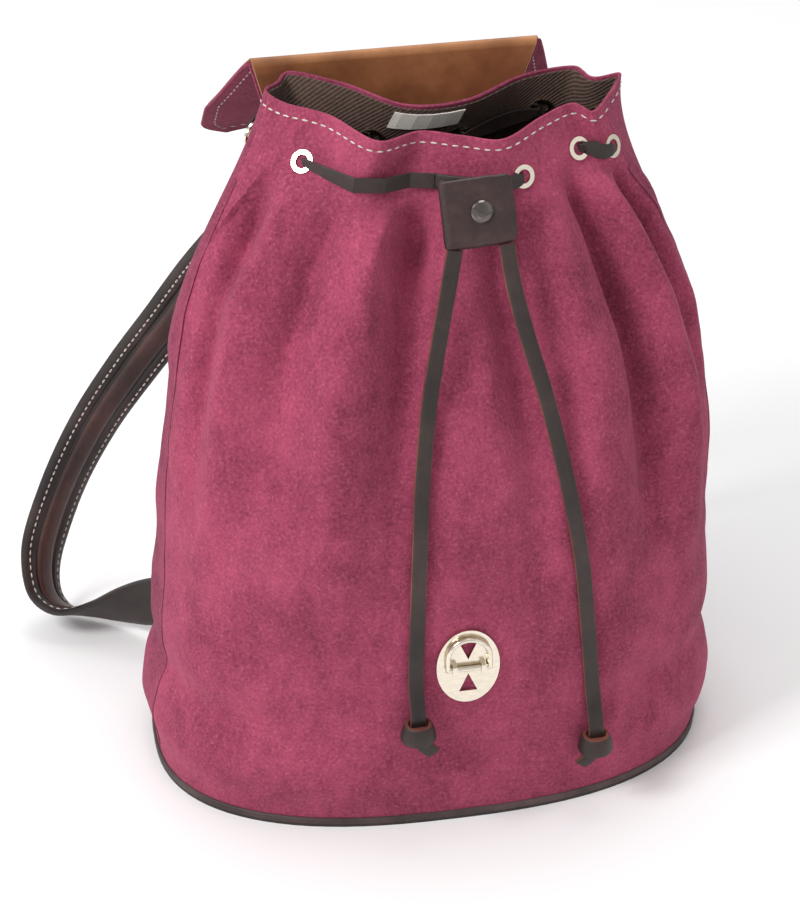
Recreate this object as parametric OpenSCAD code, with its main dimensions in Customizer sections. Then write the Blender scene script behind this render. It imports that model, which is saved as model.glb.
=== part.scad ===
// Drawstring leather backpack with a flap, a lace slider and an oval lock.
// The origin is the centre of the base's underside, the front faces -Y and
// +Z points up.  All sizes are in millimetres.

/* [Bag] */
// Half of the widest width, across the body
half_width = 142; // [115:0.5:175]
// Half of the deepest depth, front to back
half_depth = 90; // [72:0.5:110]
// Height of the body up to the middle of the rim
rim_height = 350; // [290:1:420]
// How squared the plan of the base is, 2 is an ellipse
plan_power = 2.5; // [2:0.1:3]
// Thickness of the suede of the panels
suede = 1.4; // [0.8:0.1:2.4]
// Thickness of the lining cloth
lining_cloth = 0.8; // [0.5:0.1:1.6]
// Thickness of the base leather
base_leather = 2.5; // [1.5:0.1:4]
// Thickness of the stiffening board
board = 2; // [1:0.1:3]
// Height of the leather binding round the base edge
binding_high = 6; // [4:0.5:12]

/* [Lace] */
// Width of the flat leather lace
lace_wide = 7.5; // [5:0.1:10]
// Thickness of the lace
lace_thick = 1.8; // [1.2:0.1:2.4]
// Outside diameter of an eyelet
eyelet_d = 11; // [9:0.1:14]
// Bore of an eyelet
eyelet_bore = 6.6; // [5.6:0.1:7.6]
// Distance from the rim down to the eyelets, along the height
eyelet_drop = 20; // [16:1:34]
// Width and height of the slider tab
tab_size = 30; // [26:0.5:38]
// Diameter of the slider's rivet cap
cap_d = 10.5; // [8:0.1:14]
// Largest diameter of the leather stop on a lace end
stop_d = 17; // [13:0.5:20]

/* [Lock] */
// Width of the oval lock plate
lock_wide = 31; // [26:0.5:38]
// Height of the oval lock plate
lock_high = 41; // [36:0.5:50]
// Thickness of the lock plate
lock_thick = 1.6; // [1.2:0.1:2.4]
// Height of the lock's centre above the floor
lock_z = 97; // [75:1:130]
// Diameter of the wire of the lock's loop
wire_d = 2.6; // [2:0.1:3.4]

/* [Flap] */
// Height of the fold line where the flap turns over
crest_z = 354; // [344:1:440]
// Distance of the fold line behind the middle
crest_y = 53; // [48:1:70]
// Half width of the flap along the fold
flap_half = 70; // [56:1:84]
// Length of the flap beyond the fold
flap_long = 104; // [90:1:120]
// Thickness of each of the flap's two leathers
flap_leather = 1.4; // [1:0.1:2]
// Width of the closing tongue
tongue_wide = 34; // [28:1:44]

/* [Straps] */
// Width of a shoulder strap
strap_wide = 30; // [24:0.5:40]
// Thickness of the strap's outer leather
strap_leather = 1.8; // [1.2:0.1:2.6]
// Thickness of the strap's backing leather
strap_backing = 1.4; // [1:0.1:2.4]
// Width of the band sewn along the middle of a strap
strap_band = 11; // [7:0.5:16]

/* [Fits] */
// Clearance between neighbouring pieces
gap = 0.3; // [0.2:0.05:0.5]

/* [Hidden] */
$fn = 48;

SUEDE = "#b0476f";
SUEDE_DARK = "#7d2a48";
BROWN = "#4a322b";
TAN = "#a8744f";
TWILL = "#3d332f";
NICKEL = "#cfc8bb";
RED_BROWN = "#6b3f34";
PAPER = "#e8e4dc";

// ---- vectors and sweeps -------------------------------------------------
function unit(a) = a / norm(a);
function mix(a, b, f) = a * (1 - f) + b * f;
function keep_sign(x, p) = sign(x) * pow(abs(x), p);

// A smooth curve through four neighbouring values
function spline(a, b, c, d, f) = 0.5 * (2 * b + (c - a) * f
    + (2 * a - 5 * b + 4 * c - d) * f * f
    + (3 * b - a - 3 * c + d) * f * f * f);

// A point of a smooth open curve through all points of a list, 0 to 1
function along(list, f) = let(n = len(list) - 1, s = min(f * n, n - 1e-6),
    i = floor(s)) spline(list[max(i - 1, 0)], list[i], list[i + 1],
    list[min(i + 2, n)], s - i);

// A closed solid through rings of equal length, with both ends capped
module rings(list) {
    n = len(list[0]);
    m = len(list);
    points = [for (r = list) each r];
    faces = [
        for (i = [1:n - 2]) [0, i, i + 1],
        for (i = [1:n - 2])
            [(m - 1) * n, (m - 1) * n + i + 1, (m - 1) * n + i],
        // Both halves are split along the same diagonal, so that stacked
        // bands stay parallel where they twist
        for (j = [0:m - 2], i = [0:n - 1]) let(a = j * n + i, b = a + n,
            c = j * n + (i + 1) % n, d = c + n)
            each i < n / 2 ? [[a, b, d], [a, d, c]]
                : [[a, b, c], [b, d, c]]];
    polyhedron(points, faces);
}

// A flat band: each row is [centre, side direction, half width], and the
// face lies from low to high along the face normal
module band(rows, low, high, bevel = 0.3) {
    n = len(rows) - 1;
    rings([for (i = [0:n]) let(
        ahead = unit(rows[min(i + 1, n)][0] - rows[max(i - 1, 0)][0]),
        raw = rows[i][1],
        side = unit(raw - ahead * (raw * ahead)),
        up = cross(side, ahead),
        w = rows[i][2],
        b = min(bevel, (high - low) / 3))
        [for (q = [[-w, high - b], [-w + b, high], [w - b, high],
            [w, high - b], [w, low + b], [w - b, low], [-w + b, low],
            [-w, low + b]]) rows[i][0] + side * q[0] + up * q[1]]]);
}

// ---- the body's surface -------------------------------------------------
// Half width and half depth at a height
waist = 50;
taper = 0.058;
shoulder = 140;
top_narrow = 31;
lean = 5;
top_shallow = 56;
function rise(z, from) = max(0, z - from) / (rim_height - from);
function tuck(z) = pow(1 - min(z, waist) / waist, 3);
function wide_at(z) = half_width - taper * max(0, z - waist)
    - top_narrow * pow(rise(z, shoulder), 3.2) - 3 * tuck(z);
function deep_at(z) = half_depth - top_shallow
    * pow(rise(z, waist), 2.2) - 3 * tuck(z);

// The rim, drawn in by the lace: every 18 degrees from +X towards +Y.
// Each row is [x, y, rise above the rim's height]
RIM = [[85, -4, -1], [94, 10, 3], [82, 15, 0], [75, 28, 0], [50, 27, -2],
    [22, 17, -7], [-6, 19, -8], [-32, 35, -3], [-56, 48, -1],
    [-64, 39, -1], [-71, 29, 0], [-64, 14, 0], [-46, -2, 0],
    [-28, -28, -2], [-6, -16, -5], [12, -22, -6], [30, -29, -6],
    [50, -18, -2], [66, -9, -1], [75, -13, -4]];
function rim_at(t) = let(n = len(RIM), s = (t / 360 * n + n) % n,
    i = floor(s)) spline(RIM[(i + n - 1) % n], RIM[i], RIM[(i + 1) % n],
    RIM[(i + 2) % n], s - i);

// The pleats start at this share of the height
pleat_from = 0.6;
function pleat(v) = pow(max(0, v - pleat_from) / (1 - pleat_from), 2.3);

// Outer surface: t is the angle round the body, v goes from 0 to the rim
function wall(t, v) = let(r = rim_at(t), z = v * (rim_height + r.z),
    p = 2 / mix(plan_power, 2, v), w = pleat(v),
    x = wide_at(z) * keep_sign(cos(t), p)
        + lean * sin(180 * min(v, 1)),
    y = deep_at(z) * keep_sign(sin(t), p))
    [mix(x, r.x, w), mix(y, r.y, w), z];
function wall_out(t, v) = let(u = min(v, 0.99))
    unit(cross(wall(t + 1, u) - wall(t - 1, u),
    wall(t, u + 0.01) - wall(t, max(u - 0.01, 0))));
function off_wall(t, v, d) = wall(t, v) + wall_out(t, v) * d;
function share(z) = z / rim_height;

// A curved sheet on the wall between two angles and two heights
module wall_sheet(angles, levels, inner, outer) {
    nt = len(angles) - 1;
    nv = len(levels) - 1;
    row = nv + 1;
    back = (nt + 1) * row;
    function skin(d) = [for (t = angles, v = levels)
        off_wall(t, v, d)];
    // Two triangles across the four corners a, b, c and d
    function pair(a, b, c, d) = [[a, b, c], [a, c, d]];
    polyhedron(concat(skin(outer), skin(inner)), [
        for (i = [0:nt - 1], j = [0:nv - 1]) let(a = i * row + j,
            b = a + row) each concat(pair(a, a + 1, b + 1, b),
            pair(back + a, back + b, back + b + 1, back + a + 1)),
        for (i = [0:nt - 1]) let(a = i * row, b = a + row,
            c = a + nv, d = b + nv) each concat(
            pair(a, b, back + b, back + a),
            pair(c, back + c, back + d, d)),
        for (j = [0:nv - 1]) let(a = nt * row + j) each concat(
            pair(j, back + j, back + j + 1, j + 1),
            pair(a, a + 1, back + a + 1, back + a))]);
}

// Angles and levels on one shared grid, so that layers lie parallel
grid_t = 4.5;
grid_v = 15;
function angles(a, b) = [a, for (t = [ceil((a + 1) / grid_t) * grid_t
    :grid_t:b - 1]) t, b];
function levels(a, b) = [a, for (j = [ceil((a + 0.01) * grid_v)
    :ceil((b - 0.01) * grid_v) - 1]) j / grid_v, b];

// Puts its children on the wall, with +Z pointing out of the bag
module on_wall(t, v, turn = 0) {
    n = wall_out(t, v);
    s = unit(cross([0, 0, 1], n));
    u = cross(n, s);
    p = wall(t, v);
    multmatrix([[s.x, u.x, n.x, p.x], [s.y, u.y, n.y, p.y],
        [s.z, u.z, n.z, p.z], [0, 0, 0, 1]]) rotate(turn) children();
}

lining_out = -suede - gap;
lining_in = lining_out - lining_cloth;
wall_foot = share(base_leather + gap);

// The eyelets, in the order in which the lace passes them
EYELETS = [214, 170, 140, 112, 88, 62, 32, 347, 320, 294];
eyelet_v = 1 - eyelet_drop / rim_height;
barrel_d = eyelet_bore + 1.2;
flange = 1.1;

module eyelet_cuts() {
    for (t = EYELETS) on_wall(t, eyelet_v) {
        translate([0, 0, lining_in - flange - 1])
            cylinder(d = barrel_d + 2 * gap, h = flange * 2 + 4);
        cylinder(d = eyelet_d + 2 * gap, h = flange + 0.4);
        translate([0, 0, lining_in - flange - 0.4])
            cylinder(d = eyelet_d + 2 * gap, h = flange + 0.4);
    }
}

// The lock's two prongs and the slots that they pass through
prong = 4;
module prongs(extra, long) {
    for (s = [-1, 1]) translate([0, s * (lock_high / 2 - 4), 0])
        cube([prong + 2 * extra, 1.2 + 2 * extra, 2 * long],
            center = true);
}

// ---- base ----------------------------------------------------------------
module outline(z, d, n = 96) {
    polygon([for (i = [0:n - 1]) let(t = 360 * i / n,
        p = off_wall(t, share(z), d)) [p.x, p.y]]);
}
lip = 1.5;
module base_panel() {
    color(BROWN) linear_extrude(base_leather) outline(2, lip);
}
module base_board() {
    color("#8a7358") translate([0, 0, base_leather + gap])
        linear_extrude(board) outline(2, -suede - 2);
}
module base_binding() {
    low = base_leather + gap;
    n = 80;
    function ring(z, d) = [for (i = [0:n - 1])
        off_wall(360 * i / n, share(z), d)];
    a = ring(low, gap);
    b = ring(low, lip);
    c = ring(low + binding_high, lip * 0.8);
    d = ring(low + binding_high, gap);
    color(BROWN) polyhedron(concat(a, b, c, d), [
        for (k = [0:3], i = [0:n - 1]) let(j = (i + 1) % n,
            p = k * n, q = (k + 1) % 4 * n)
            each [[p + i, q + i, q + j], [p + i, q + j, p + j]]]);
}

// ---- walls ----------------------------------------------------------------
seam_left = 186;
seam_right = 354;
seam_gap = 0.35;
module front_panel() {
    color(SUEDE) difference() {
        wall_sheet(angles(seam_left + seam_gap, seam_right - seam_gap),
            levels(wall_foot, 1), -suede, 0);
        eyelet_cuts();
        on_wall(270, share(lock_z)) prongs(gap, 8);
    }
}
module back_panel() {
    color(SUEDE_DARK) difference() {
        wall_sheet(angles(seam_right - 360 + seam_gap,
            seam_left - seam_gap), levels(wall_foot, 1), -suede, 0);
        eyelet_cuts();
    }
}

// The lining is one cup with a floor
module lining() {
    nt = 360 / grid_t;
    low_out = base_leather + board + 2 * gap;
    low_in = low_out + lining_cloth;
    function skin(d, low) = [for (v = levels(share(low), 1),
        i = [0:nt - 1]) off_wall(grid_t * i, v, d)];
    nv = len(levels(share(low_out), 1)) - 1;
    count = nt * (nv + 1);
    a = skin(lining_out, low_out);
    b = skin(lining_in, low_in);
    middle = [[0, 0, low_out], [0, 0, low_in]];
    top = nv * nt;
    color(TWILL) difference() {
        polyhedron(concat(a, b, middle), [
            for (j = [0:nv - 1], i = [0:nt - 1]) let(k = (i + 1) % nt,
                p = j * nt, q = p + nt) each [
                [p + i, q + i, q + k], [p + i, q + k, p + k],
                [count + p + i, count + q + k, count + q + i],
                [count + p + i, count + p + k, count + q + k]],
            for (i = [0:nt - 1]) let(k = (i + 1) % nt) each [
                [top + i, count + top + i, count + top + k],
                [top + i, count + top + k, top + k],
                [i, k, 2 * count],
                [count + k, count + i, 2 * count + 1]]]);
        eyelet_cuts();
        on_wall(270, share(lock_z)) prongs(gap, 8);
    }
}

// A folded bead of suede down each side, where the panels are joined
module side_seams() {
    color(SUEDE) for (t = [seam_left, seam_right])
        rings([for (j = [0:22]) let(v = mix(share(12), 0.88, j / 22),
            p = off_wall(t, v, gap), n = wall_out(t, v),
            s = unit(cross([0, 0, 1], n)))
            [for (q = [[-1.2, 0], [-1, 1.2], [0, 1.7], [1, 1.2],
                [1.2, 0]]) p + s * q[0] + n * q[1]]]);
}

// ---- eyelets ---------------------------------------------------------------
module eyelets() {
    color(NICKEL) for (t = EYELETS) on_wall(t, eyelet_v)
        difference() {
            union() {
                cylinder(d = eyelet_d, h = flange);
                translate([0, 0, lining_in - flange])
                    cylinder(d = barrel_d, h = flange - lining_in + 0.1);
            }
            translate([0, 0, lining_in - 3])
                cylinder(d = eyelet_bore, h = 10);
        }
}
module eyelet_washers() {
    color(NICKEL) for (t = EYELETS) on_wall(t, eyelet_v)
        translate([0, 0, lining_in - flange]) difference() {
            cylinder(d = eyelet_d, h = flange);
            translate([0, 0, -1]) cylinder(d = barrel_d, h = 4);
        }
}

// ---- yoke, hang loop and small pieces --------------------------------------
yoke_t = 104;
yoke_low = 0.76;
yoke_high = 0.86;
yoke_thick = 1.8;
module back_yoke() {
    color(BROWN) difference() {
        wall_sheet(angles(yoke_t - 24, yoke_t + 24),
            levels(yoke_low, yoke_high), gap, gap + yoke_thick);
        for (t = YOKE_RIVETS) on_wall(t, yoke_rivet_v)
            cylinder(d = rivet_shank + 2 * gap, h = 16, center = true);
    }
}
YOKE_RIVETS = [yoke_t - 20, yoke_t - 7, yoke_t + 7, yoke_t + 20];
yoke_rivet_v = 0.785;
rivet_shank = 3;
module yoke_rivets() {
    color(NICKEL) for (t = YOKE_RIVETS) on_wall(t, yoke_rivet_v) {
        translate([0, 0, gap]) cylinder(d = rivet_shank,
            h = yoke_thick + gap);
        translate([0, 0, 2 * gap + yoke_thick]) cylinder(d1 = 8, d2 = 6,
            h = 1.6);
    }
}
module hang_loop() {
    // A strip bowed out of the yoke, both ends lying on it
    high = 0.79;
    rows = [for (i = [0:20]) let(f = i / 20, t = yoke_t + 15 * (1 - 2 * f),
        lift = gap * 4 + yoke_thick + 19 * pow(sin(180 * f), 0.8))
        [off_wall(t, high, lift), [0, 0, 1], 6]];
    color(BROWN) band(rows, 0, 2.2);
}
module inner_pocket() {
    color(TWILL) wall_sheet(angles(58, 122), levels(0.32, 0.6),
        lining_in - gap - lining_cloth, lining_in - gap);
}
module blank_label() {
    color(PAPER) wall_sheet(angles(90, 110), levels(0.965, 0.99),
        lining_in - gap - 0.6, lining_in - gap);
}

// ---- lock ---------------------------------------------------------------
ear_x = 7;
bar_play = 0.2;
bar_z = lock_thick + gap + wire_d / 2 + bar_play;
loop_r = 10.3;
loop_leg = 6;
lock_seat = gap;
module lock_frame() {
    on_wall(270, share(lock_z)) translate([0, 0, lock_seat]) children();
}
module lock_plate() {
    color(NICKEL) lock_frame() {
        difference() {
            union() {
                linear_extrude(lock_thick)
                    resize([lock_wide, lock_high]) circle(d = 40, $fn = 72);
                for (s = [-1, 1]) translate([s * ear_x - 1.2, -2.3, 0])
                    cube([2.4, 4.6, bar_z + wire_d / 2 + 0.8]);
                translate([0, 0, -suede - lining_cloth - 2 * gap])
                    prongs(0, suede + lining_cloth + 2 * gap + 0.5);
            }
            for (s = [-1, 1]) scale([1, s, 1])
                translate([0, 4, -1]) linear_extrude(5)
                    polygon([[0, 0], [4.5, 10], [-4.5, 10]]);
            translate([-20, 0, bar_z]) rotate([0, 90, 0])
                cylinder(d = wire_d + 2 * bar_play, h = 40);
        }
    }
}
module lock_back_plate() {
    color(NICKEL) on_wall(270, share(lock_z))
        translate([0, 0, lining_in - 2 * gap - 1]) difference() {
            linear_extrude(1) resize([lock_wide - 6, lock_high - 8])
                circle(d = 30, $fn = 60);
            prongs(gap, 8);
        }
}
module lock_loop() {
    color(NICKEL) lock_frame() translate([0, 0, bar_z]) {
        translate([-loop_r, 0, 0]) rotate([0, 90, 0])
            cylinder(d = wire_d, h = 2 * loop_r);
        for (s = [-1, 1]) translate([s * loop_r, 0, 0]) {
            sphere(d = wire_d, $fn = 24);
            rotate([-90, 0, 0]) cylinder(d = wire_d, h = loop_leg);
        }
        translate([0, loop_leg, 0]) rotate_extrude(angle = 180)
            translate([loop_r, 0]) circle(d = wire_d, $fn = 24);
    }
}

// ---- lace --------------------------------------------------------------
// The lace runs outside or inside the wall, a little clear of it
lace_out = flange + lace_thick / 2 + gap + 0.3;
lace_in = lining_in - lace_out;
lift = 0.5;
bore_half = 1.9;
near = 1.7;
function span(i, inside) = let(a = EYELETS[i], raw = EYELETS[i + 1],
    b = raw > a ? raw - 360 : raw, d = inside ? lace_in - lift : lace_out + lift,
    long = norm(wall(a, eyelet_v) - wall(b, eyelet_v)),
    e = near / long)
    [for (f = [e, 0.16, 0.33, 0.5, 0.67, 0.84, 1 - e])
        [off_wall(mix(a, b, f), eyelet_v, d), [0, 0, 1],
            f == e || f == 1 - e ? bore_half
                : lace_wide / 2 * (f > 0.2 && f < 0.8 ? 1 : 0.8)]];
function bore_row(i) = [off_wall(EYELETS[i], eyelet_v, lining_in / 2),
    [0, 0, 1], bore_half];
// Approach to the first and last eyelets, from the slider, outside
function lead(from, to, last) = let(long = norm(wall(from, eyelet_v)
    - wall(to, eyelet_v)), e = near / long)
    [for (f = [0, 0.2, 0.4, 0.6, 0.8, 1 - e])
        [off_wall(mix(from, to, f), eyelet_v, lace_out
            + (f < 0.3 ? 1.5 : lift)), [0, 0, 1],
            f == 1 - e ? bore_half : lace_wide / 2 * (f > 0.7 ? 0.8 : 1)]];
function backwards(list) = [for (i = [len(list) - 1:-1:0]) list[i]];
lead_left_t = 262;
lead_right_t = 284;
module lace_loop() {
    rows = [each lead(lead_left_t, EYELETS[0]), bore_row(0),
        for (i = [0:8]) each [each span(i, i % 2 == 0), bore_row(i + 1)],
        each backwards(lead(lead_right_t, EYELETS[9]))];
    color(BROWN) band(rows, -lace_thick / 2 + 0.3, lace_thick / 2 - 0.3,
        0.2);
}

// Routes of the two loose ends, from the slider down to past the stops
TAIL_LEFT = [[2, -57, 305], [-2, -61, 285], [-8, -67, 256],
    [-13, -73.5, 230], [-17, -80.5, 195], [-19, -85.5, 160],
    [-21, -89.5, 115], [-22, -92, 90], [-22, -98, 76], [-22, -99, 66],
    [-20, -99, 58], [-14, -98, 51]];
TAIL_RIGHT = [[26, -57, 306], [29, -62, 285], [35, -67, 260],
    [42, -72, 235], [49, -77, 205], [55, -81, 175], [60, -83.5, 145],
    [64, -85, 105], [67, -86, 70], [68, -92, 52], [68, -93, 42],
    [66, -93, 34], [61, -92, 28]];
tail_rings = 34;
module tail(route) {
    color(BROWN) band([for (i = [0:tail_rings])
        [along(route, i / tail_rings), [1, 0, 0], lace_wide / 2]],
        -lace_thick / 2, lace_thick / 2);
}
module lace_tail_left() tail(TAIL_LEFT);
module lace_tail_right() tail(TAIL_RIGHT);

// A conical leather collar through which the lace end passes
stop_high = 9;
module lace_stop(route) {
    p = route[len(route) - 3];
    color(BROWN) translate([p.x, p.y, p.z - stop_high / 2])
        difference() {
            cylinder(d1 = stop_d, d2 = stop_d - 4, h = stop_high);
            translate([-lace_wide / 2 - gap, -lace_thick / 2 - 0.6, -1])
                cube([lace_wide + 2 * gap, lace_thick + 1.2,
                    stop_high + 2]);
        }
}
module lace_stop_left() lace_stop(TAIL_LEFT);
module lace_stop_right() lace_stop(TAIL_RIGHT);

// ---- slider ----------------------------------------------------------------
// The slider's frame: its face leans back with the front of the bag
slider_at = [15, -51, 321];
slider_lean = 20;
slider_turn = 3;
tab_leather = 1.8;
channel = lace_thick + 1.2;
module slider_frame() {
    translate(slider_at) rotate([90 - slider_lean, 0, 0])
        rotate(slider_turn) children();
}
module slider_tab() {
    half = tab_size / 2;
    outer = channel / 2 + tab_leather;
    color(BROWN) slider_frame() difference() {
        union() {
            for (z = [channel / 2, -outer]) translate([-half, -half, z])
                linear_extrude(tab_leather) square(tab_size);
            translate([-half, -half, 0]) rotate([-90, 0, 0])
                rotate([0, 0, 90]) rotate_extrude(angle = 180)
                translate([channel / 2, 0]) square([tab_leather, tab_size]);
        }
        cylinder(d = rivet_shank + 2 * gap, h = 20, center = true);
    }
}
module slider_spacer() {
    color(TAN) slider_frame() translate([0, 0, -channel / 2])
        difference() {
            translate([-4.5, -tab_size / 2 + 3, 0])
                cube([9, tab_size - 12, channel]);
            translate([0, 0, -1]) cylinder(d = rivet_shank + 2 * gap,
                h = 9);
        }
}
module slider_rivet_cap() {
    top = channel / 2 + tab_leather;
    color("#54504c") slider_frame() translate([0, 0, top])
        rotate_extrude() polygon([[0, 0], [cap_d / 2, 0],
            [cap_d / 2, 0.8], [cap_d / 2 - 0.8, 1.6],
            [cap_d / 4, 2.3], [0, 2.5]]);
}
module slider_rivet_post() {
    top = channel / 2 + tab_leather;
    color(NICKEL) slider_frame() {
        translate([0, 0, -top]) cylinder(d = rivet_shank, h = 2 * top);
        translate([0, 0, -top - 1]) cylinder(d = 8, h = 1);
    }
}

// ---- flap -------------------------------------------------------------------
// The flap hangs back and down from its fold; s runs away from the fold
flap_down = 42;
flap_x = -5;
flap_dir = [0, cos(flap_down), -sin(flap_down)];
flap_up = [0, sin(flap_down), cos(flap_down)];
crest = [flap_x, crest_y, crest_z];
fold_gap = 2.2;
function flap_wide(s) = flap_half + 16 * min(1, s / 60)
    - 14 * pow(max(0, s - flap_long + 22) / 22, 2.4);
module flap_layer(low, high, inset) {
    rings([for (i = [0:16]) let(s = mix(fold_gap, flap_long - inset,
        i / 16), w = flap_wide(s) - inset, p = crest + flap_dir * s)
        [for (q = [[-w, high], [w, high], [w, low], [-w, low]])
            p + [q[0], 0, 0] + flap_up * q[1]]]);
}
// The fixed strip of the flap, from its seam on the back up to the fold
module root_layer(low, high) {
    rings([for (i = [0:8]) let(f = i / 8,
        y = mix(crest_y + 5, crest_y, f * f), z = mix(crest_z - 56,
            crest_z - fold_gap - 2, f), w = mix(flap_half - 14, flap_half, f))
        [for (q = [[-w, low], [w, low], [w, high], [-w, high]])
            [flap_x + q[0], y + q[1] + 8 * pow(1 - f, 2), z]]]);
}
module flap_root() {
    color(SUEDE_DARK) root_layer(gap / 2, gap / 2 + flap_leather);
}
module flap_root_lining() {
    color(TAN) root_layer(-gap / 2 - flap_leather, -gap / 2);
}
module flap_suede() {
    color(SUEDE) flap_layer(-flap_leather - gap / 2, -gap / 2, 0);
}
module flap_lining() {
    color(TAN) flap_layer(gap / 2, gap / 2 + flap_leather, 2);
}
module flap_edge() {
    // The sewn tab that carries the closing tongue, under the flap's end
    color(BROWN) multmatrix([[1, 0, 0, 0],
        [0, flap_dir.y, flap_up.y, crest_y],
        [0, flap_dir.z, flap_up.z, crest_z], [0, 0, 0, 1]])
        translate([tongue_x - tongue_wide / 2, flap_long - 26,
            -flap_leather - gap * 1.5 - 1.6])
            cube([tongue_wide, 24, 1.6]);
}
// The tongue hangs straight down from the flap's end.  When the flap is
// closed it points forwards and a little up, and the tongue runs from its
// end down to the lock.
flap_turn = 218;
hinge_s = flap_long + 3;
tongue_top = crest + flap_dir * hinge_s;
closed_top = crest + [0, cos(flap_turn - flap_down),
    sin(flap_turn - flap_down)] * hinge_s;
closed_hook = [0, -half_depth - 9.5, lock_z + 8];
hook_long = norm([0, closed_hook.y - closed_top.y,
    closed_hook.z - closed_top.z]);
tongue_long = hook_long + tongue_wide / 2;
tongue_x = wall(270, share(lock_z)).x;
module tongue_layer(y, thick, inset) {
    w = tongue_wide / 2 - inset;
    low = tongue_top.z - tongue_long;
    translate([tongue_x, tongue_top.y + y + thick, 0]) rotate([90, 0, 0])
        linear_extrude(thick) difference() {
            union() {
                translate([-w, low + w]) square([2 * w, tongue_top.z
                    - low - w]);
                translate([0, low + w]) circle(r = w, $fn = 48);
            }
            children();
        }
}
slot_wide = 2 * loop_r + wire_d + 3;
slot_high = wire_d + 3;
slot_z = tongue_top.z - hook_long;
module slot_hole(grow) {
    translate([0, slot_z]) square([slot_wide + 2 * grow,
        slot_high + 2 * grow], center = true);
}
module tongue_suede() {
    color(SUEDE) tongue_layer(-flap_leather - gap / 2, flap_leather, 0)
        slot_hole(1);
}
module tongue_lining() {
    color(TAN) tongue_layer(gap / 2, flap_leather, 0.6) slot_hole(1);
}
module tongue_plate() {
    color(NICKEL) translate([tongue_x, tongue_top.y - flap_leather - gap * 1.5, 0])
        rotate([90, 0, 0]) linear_extrude(1.4) difference() {
            translate([0, slot_z]) resize([tongue_wide + 2, 20])
                circle(d = 30, $fn = 60);
            slot_hole(0);
        }
}

// ---- shoulder straps ----------------------------------------------------
// Each row is [x, y, z] of the left strap's middle, top end first, then
// the direction of its width.  Both ends narrow to strap_end of the width
tab_t = 134;
tab_v = 0.095;
strap_top = [129, 0.8, 7.4];
strap_foot = [tab_t, tab_v, 7.6];
STRAP_LEFT = [[off_wall(strap_top[0], strap_top[1], strap_top[2]),
    [-0.9, 0, 0.4]], [[-79, 61, 261], [-0.8, -0.1, 0.5]],
    [[-95, 78, 230], [-0.7, -0.1, 0.6]], [[-112, 94, 196], [-0.5, -0.3, 1]],
    [[-132, 108, 160], [-0.6, -0.3, 1]], [[-153, 119, 121], [-0.7, -0.4, 1]],
    [[-171, 125, 81], [-0.8, -0.5, 0.9]],
    [[-184, 124, 44], [-0.8, -0.5, 0.8]],
    [[-186, 116, 21], [-0.8, -0.8, 0.6]],
    [[-177, 106, 12], [-0.5, -0.9, 0.6]],
    [[-158, 98, 15], [-0.2, -0.6, 0.8]], [[-140, 90, 22], [0, -0.2, 1]],
    [[-124, 82, 29], [0, 0, 1]],
    [off_wall(strap_foot[0], strap_foot[1], strap_foot[2]), [0, 0, 1]]];
// The right strap hangs closer in, straight behind the bag
STRAP_RIGHT = [[off_wall(180 - strap_top[0], strap_top[1],
    strap_top[2] - yoke_thick),
    [0.9, 0, 0.3]], [[88, 60, 262], [0.9, -0.1, 0.3]],
    [[96, 78, 234], [1, -0.1, 0.3]], [[102, 96, 200], [1, -0.2, 0.3]],
    [[108, 112, 160], [1, -0.2, 0.3]], [[112, 124, 116], [1, -0.2, 0.2]],
    [[115, 132, 72], [1, -0.1, 0.1]], [[116, 135, 38], [1, 0, 0]],
    [[116, 130, 14], [1, 0, 0]], [[116, 116, 7], [1, 0, 0]],
    [[115, 105, 13], [0.9, 0, 0.4]], [[114, 96, 23], [0.6, 0, 0.8]],
    [[112, 86, 30], [0.2, 0, 1]],
    [off_wall(180 - strap_foot[0], strap_foot[1], strap_foot[2]),
    [0, 0, 1]]];
strap_rings = 56;
strap_end = 0.3;
function strap_rows(route, w) = [for (i = [0:strap_rings]) let(
    f = i / strap_rings, near = min(i, strap_rings - i),
    p = along([for (r = route) r[0]], f),
    s = along([for (r = route) r[1]], f))
    [p, s, w * min(1, strap_end + 0.14 * near)]];
// side is 1 where the outer face lies along the band's own normal, else -1
module strap_layer(route, side, w, low, high, skip = 0) {
    rows = strap_rows(route, w);
    band([for (i = [skip:strap_rings - skip]) rows[i]],
        side > 0 ? low : -high, side > 0 ? high : -low);
}
half_gap = 0.15;
band_low = half_gap + strap_leather + 2 * gap;
band_thick = 1.4;
module strap_outer(route, side) strap_layer(route, side, strap_wide / 2,
    half_gap, half_gap + strap_leather);
module strap_inner(route, side) strap_layer(route, side,
    strap_wide / 2 - 0.5, -half_gap - strap_backing, -half_gap);
module strap_middle(route, side) strap_layer(route, side, strap_band / 2,
    band_low, band_low + band_thick, 3);
module strap_left() color(BROWN) strap_outer(STRAP_LEFT, 1);
module strap_left_backing() color(BROWN) strap_inner(STRAP_LEFT, 1);
module strap_left_band() color(RED_BROWN) strap_middle(STRAP_LEFT, 1);
module strap_right() color(BROWN) strap_outer(STRAP_RIGHT, -1);
module strap_right_backing() color(BROWN) strap_inner(STRAP_RIGHT, -1);
module strap_right_band() color(RED_BROWN) strap_middle(STRAP_RIGHT, -1);

// Leather tabs low on the back, where the straps' lower ends are riveted
module strap_tabs() {
    color(BROWN) for (t = [tab_t, 180 - tab_t]) on_wall(t, tab_v)
        translate([0, 0, 1.2]) difference() {
            translate([-14, -13, 0]) cube([28, 26, 2.2]);
            cylinder(d = rivet_shank + 2 * gap, h = 9, center = true);
        }
}
module strap_tab_rivets() {
    color(NICKEL) for (t = [tab_t, 180 - tab_t]) on_wall(t, tab_v) {
        translate([0, 0, 0.5]) cylinder(d = rivet_shank, h = 3.2);
        translate([0, 0, 3.7]) cylinder(d1 = 8, d2 = 6, h = 1.6);
    }
}

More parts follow.
